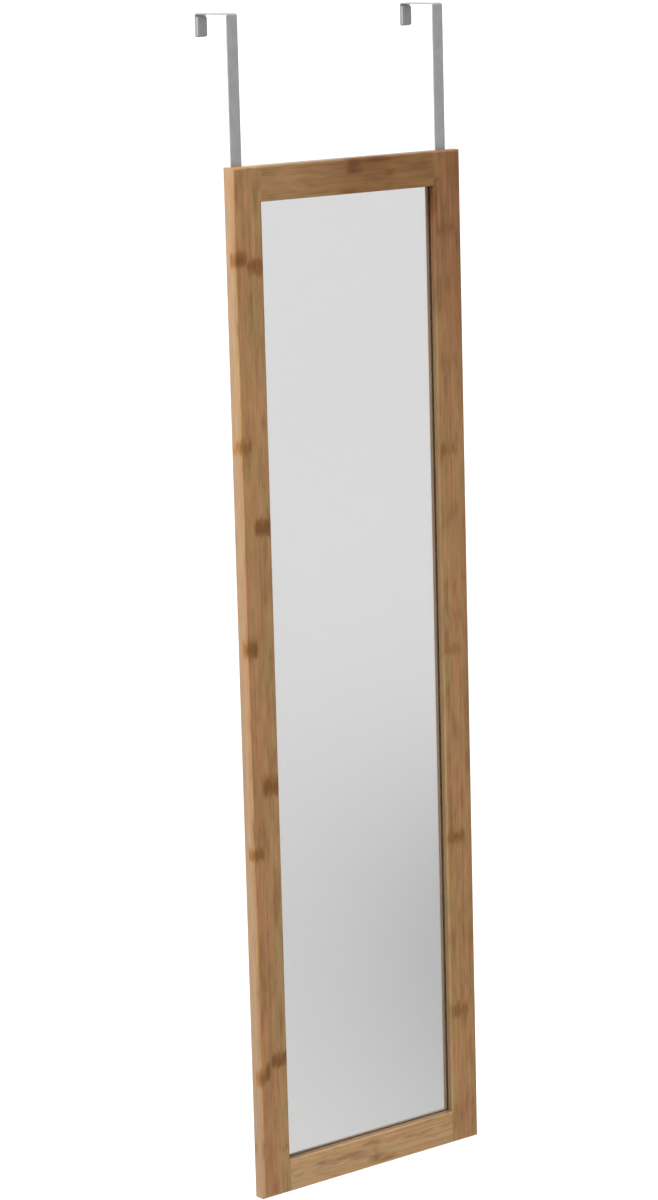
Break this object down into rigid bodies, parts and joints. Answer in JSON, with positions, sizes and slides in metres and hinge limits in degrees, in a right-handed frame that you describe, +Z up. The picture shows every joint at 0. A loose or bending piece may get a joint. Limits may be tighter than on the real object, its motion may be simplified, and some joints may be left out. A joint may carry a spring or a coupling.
{
  "type": "over the door mirror",
  "caption": "Tall narrow mirror in a flat bamboo frame, hung over the top of a door by two bent metal strap hooks.",
  "frame": {"origin": "midway between the two hooks, on the top front edge of the door that they hang on", "axes": "+X to the viewer's right, the mirror faces -Y, +Z up; y = 0 is the door's face and z = 0 its top edge"},
  "size_m": [0.3, 0.0685, 1.2535],
  "materials": {
    "bamboo": "laminated bamboo, clear satin lacquer",
    "beech": "plain beech dowel",
    "float_glass": "clear float glass, seamed edges",
    "silvering": "silver coat with grey backing paint",
    "foam_tape": "white double-sided foam tape",
    "hardboard": "brown hardboard, smooth face out",
    "point_steel": "bright stamped steel",
    "hook_steel": "satin zinc plate on strip steel",
    "screw_steel": "bright zinc plate",
    "pad_foam": "grey closed-cell foam",
    "bumper_rubber": "translucent polyurethane"
  },
  "bodies": {
    "root": {"left_stile": "bamboo", "right_stile": "bamboo", "top_rail": "bamboo", "bottom_rail": "bamboo", "top_left_dowels": "beech", "top_right_dowels": "beech", "bottom_left_dowels": "beech", "bottom_right_dowels": "beech", "mirror_glass": "float_glass", "mirror_silvering": "silvering", "mounting_tape": "foam_tape", "backing_board": "hardboard", "retaining_points": "point_steel", "left_hook": "hook_steel", "right_hook": "hook_steel", "left_hook_screws": "screw_steel", "right_hook_screws": "screw_steel", "left_hook_pad": "pad_foam", "right_hook_pad": "pad_foam", "left_bumper": "bumper_rubber", "right_bumper": "bumper_rubber"}
  },
  "joints": []
}
